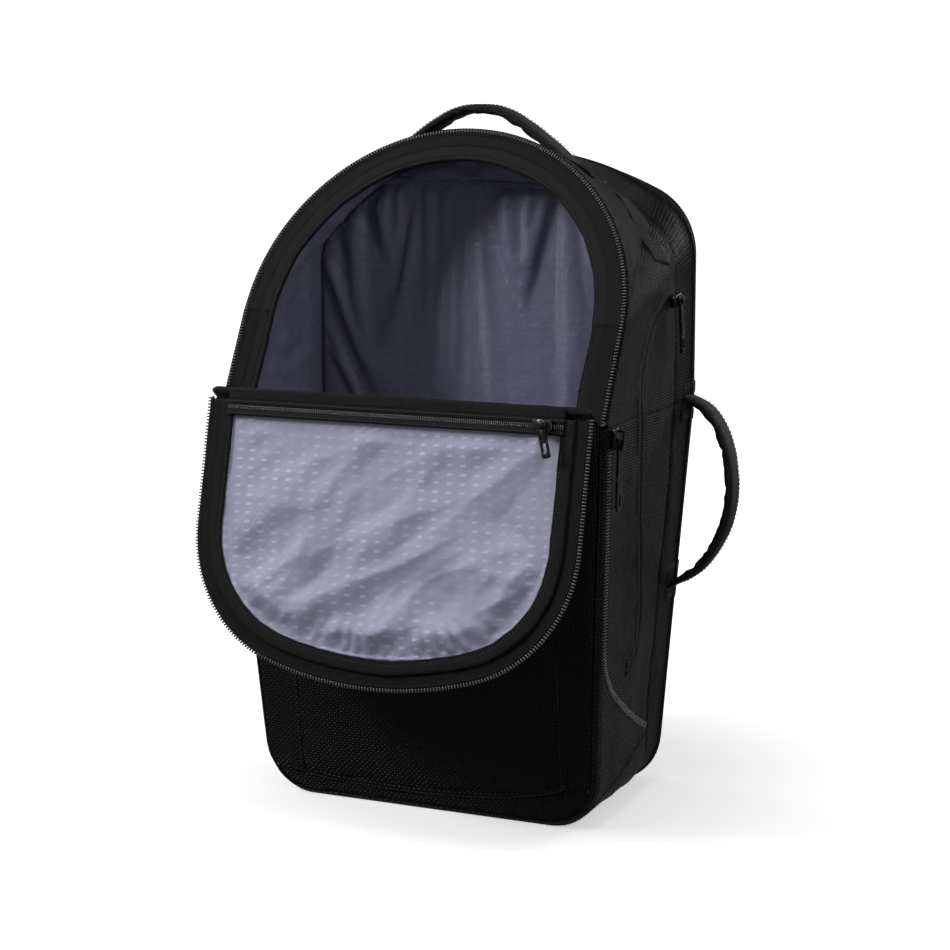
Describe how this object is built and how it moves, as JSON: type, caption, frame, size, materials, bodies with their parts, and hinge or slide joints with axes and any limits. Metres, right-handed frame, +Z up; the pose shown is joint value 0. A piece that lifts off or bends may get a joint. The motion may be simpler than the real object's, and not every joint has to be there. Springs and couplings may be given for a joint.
{
  "type": "travel backpack",
  "caption": "Soft travel backpack with an arched zipped front flap hanging open, grab handles, side pockets and shoulder straps.",
  "frame": {"origin": "middle of the base, on the surface that the bag stands on", "axes": "+Z up, -Y out of the zipped front, +X to the right of someone looking at the front"},
  "size_m": [0.4001, 0.3596, 0.581],
  "materials": {
    "ballistic_nylon": "coarse woven black nylon",
    "back_foam": "black air mesh over foam",
    "lining_nylon": "shiny lavender grey nylon with a small woven pattern",
    "sleeve_foam": "padded nylon",
    "stiffener_sheet": "polyethylene sheet",
    "binding_tape": "ribbed binding tape",
    "zip_tape": "fine woven zip tape",
    "zip_coil": "nylon coil",
    "zip_metal": "black painted zinc",
    "webbing": "woven webbing",
    "handle_fabric": "padded fabric band",
    "strap_foam": "mesh backed padded strap",
    "buckle_plastic": "moulded acetal"
  },
  "bodies": {
    "bag": {"back_panel": "back_foam", "rear_gusset": "ballistic_nylon", "top_gusset": "ballistic_nylon", "side_panel_right": "ballistic_nylon", "side_panel_left": "ballistic_nylon", "base_panel": "ballistic_nylon", "front_lower_panel": "ballistic_nylon", "front_hem": "ballistic_nylon", "main_lining": "lining_nylon", "laptop_sleeve": "sleeve_foam", "frame_sheet": "stiffener_sheet", "base_stiffener": "stiffener_sheet", "opening_binding": "binding_tape", "main_zip_tape": "zip_tape", "main_zip_teeth": "zip_coil", "lower_chain_right": "zip_tape", "lower_chain_left": "zip_tape", "side_zip_tape_right": "zip_tape", "side_zip_tape_left": "zip_tape", "wing_strap_right": "webbing", "wing_strap_left": "webbing", "top_handle_anchors": "webbing", "side_handle_anchors": "webbing", "back_pad_right": "back_foam", "back_pad_left": "back_foam", "lumbar_pad": "back_foam", "strap_yoke": "back_foam", "strap_anchor_right": "webbing", "strap_anchor_left": "webbing"},
    "fold": {"fold_band": "ballistic_nylon"},
    "flap": {"flap_panel": "ballistic_nylon", "flap_lining": "lining_nylon", "flap_binding": "binding_tape", "flap_zip_tape": "zip_tape", "flap_zip_teeth": "zip_coil", "pocket_zip_tape": "zip_tape"},
    "pocket_slider": {"pocket_slider": "zip_metal"},
    "pocket_pull": {"pocket_pull": "zip_metal"},
    "top_handle": {"top_handle": "handle_fabric"},
    "side_handle": {"side_handle": "handle_fabric"},
    "main_slider_right": {"main_slider_right": "zip_metal"},
    "main_pull_right": {"main_pull_right": "zip_metal"},
    "side_slider_right": {"side_slider_right": "zip_metal"},
    "side_pull_right": {"side_pull_right": "zip_metal"},
    "strap_right": {"shoulder_strap_right": "strap_foam", "strap_adjuster_right": "buckle_plastic", "strap_webbing_right": "webbing", "sternum_rail_right": "buckle_plastic"},
    "main_slider_left": {"main_slider_left": "zip_metal"},
    "main_pull_left": {"main_pull_left": "zip_metal"},
    "side_slider_left": {"side_slider_left": "zip_metal"},
    "side_pull_left": {"side_pull_left": "zip_metal"},
    "strap_left": {"shoulder_strap_left": "strap_foam", "strap_adjuster_left": "buckle_plastic", "strap_webbing_left": "webbing", "sternum_rail_left": "buckle_plastic"},
    "sternum_right": {"sternum_strap_right": "webbing", "sternum_clip": "buckle_plastic"},
    "sternum_left": {"sternum_strap_left": "webbing", "sternum_buckle": "buckle_plastic"}
  },
  "joints": [
    {"name": "band_fold", "type": "hinge", "parent": "bag", "child": "fold", "pos_m": [0, -0.11166, 0.3379], "axis": [-1, 0, 0], "range_deg": [0, 77]},
    {"name": "flap_fold", "type": "hinge", "parent": "fold", "child": "flap", "pos_m": [0, -0.12392, 0.34819], "axis": [-1, 0, 0], "range_deg": [0, 117]},
    {"name": "pocket_slide", "type": "slide", "parent": "flap", "child": "pocket_slider", "axis": [-1, 0, 0], "range_m": [0, 0.264]},
    {"name": "pocket_pull_swing", "type": "hinge", "parent": "pocket_slider", "child": "pocket_pull", "pos_m": [0.132, -0.13325, 0.3369], "axis": [0, -0.9744, 0.225], "range_deg": [-60, 60]},
    {"name": "main_slide_right", "type": "slide", "parent": "bag", "child": "main_slider_right", "axis": [-0.0609, 0.1011, -0.993], "range_m": [0, 0.165]},
    {"name": "main_pull_lift_right", "type": "hinge", "parent": "main_slider_right", "child": "main_pull_right", "pos_m": [0.17911, -0.09405, 0.32441], "axis": [-0.0023, -0.9949, -0.1011], "range_deg": [0, 120]},
    {"name": "side_slide_right", "type": "hinge", "parent": "bag", "child": "side_slider_right", "pos_m": [0.17268, 0.049, 0.345], "axis": [1, 0, 0], "range_deg": [0, 78]},
    {"name": "side_pull_swing_right", "type": "hinge", "parent": "side_slider_right", "child": "side_pull_right", "pos_m": [0.17268, 0.03546, 0.42181], "axis": [1, 0, 0], "range_deg": [-80, 80]},
    {"name": "strap_lift_right", "type": "hinge", "parent": "bag", "child": "strap_right", "pos_m": [0.062, 0.118, 0.478], "axis": [1, 0, 0], "range_deg": [0, 75]},
    {"name": "sternum_swing_right", "type": "hinge", "parent": "strap_right", "child": "sternum_right", "pos_m": [0.078, 0.17601, 0.372], "axis": [0, 1, 0], "range_deg": [-20, 95]},
    {"name": "main_slide_left", "type": "slide", "parent": "bag", "child": "main_slider_left", "axis": [0.0609, 0.1011, -0.993], "range_m": [0, 0.165]},
    {"name": "main_pull_lift_left", "type": "hinge", "parent": "main_slider_left", "child": "main_pull_left", "pos_m": [-0.17911, -0.09405, 0.32441], "axis": [-0.0023, 0.9949, 0.1011], "range_deg": [0, 120]},
    {"name": "side_slide_left", "type": "hinge", "parent": "bag", "child": "side_slider_left", "pos_m": [-0.17268, 0.049, 0.345], "axis": [1, 0, 0], "range_deg": [0, 78]},
    {"name": "side_pull_swing_left", "type": "hinge", "parent": "side_slider_left", "child": "side_pull_left", "pos_m": [-0.17268, 0.03546, 0.42181], "axis": [1, 0, 0], "range_deg": [-80, 80]},
    {"name": "strap_lift_left", "type": "hinge", "parent": "bag", "child": "strap_left", "pos_m": [-0.062, 0.118, 0.478], "axis": [1, 0, 0], "range_deg": [0, 75]},
    {"name": "sternum_swing_left", "type": "hinge", "parent": "strap_left", "child": "sternum_left", "pos_m": [-0.078, 0.17601, 0.372], "axis": [0, -1, 0], "range_deg": [-20, 95]},
    {"name": "top_handle_fold", "type": "hinge", "parent": "bag", "child": "top_handle", "pos_m": [0, 0.036, 0.53497], "axis": [1, 0, 0], "range_deg": [-34, 20]},
    {"name": "side_handle_swing", "type": "hinge", "parent": "bag", "child": "side_handle", "pos_m": [0.15838, 0.08, 0.18], "axis": [0.0846, 0, 0.9964], "range_deg": [-38, 38]}
  ],
  "couplings": [
    {"joint": "band_fold", "follows": "flap_fold", "ratio": 0.658}
  ]
}
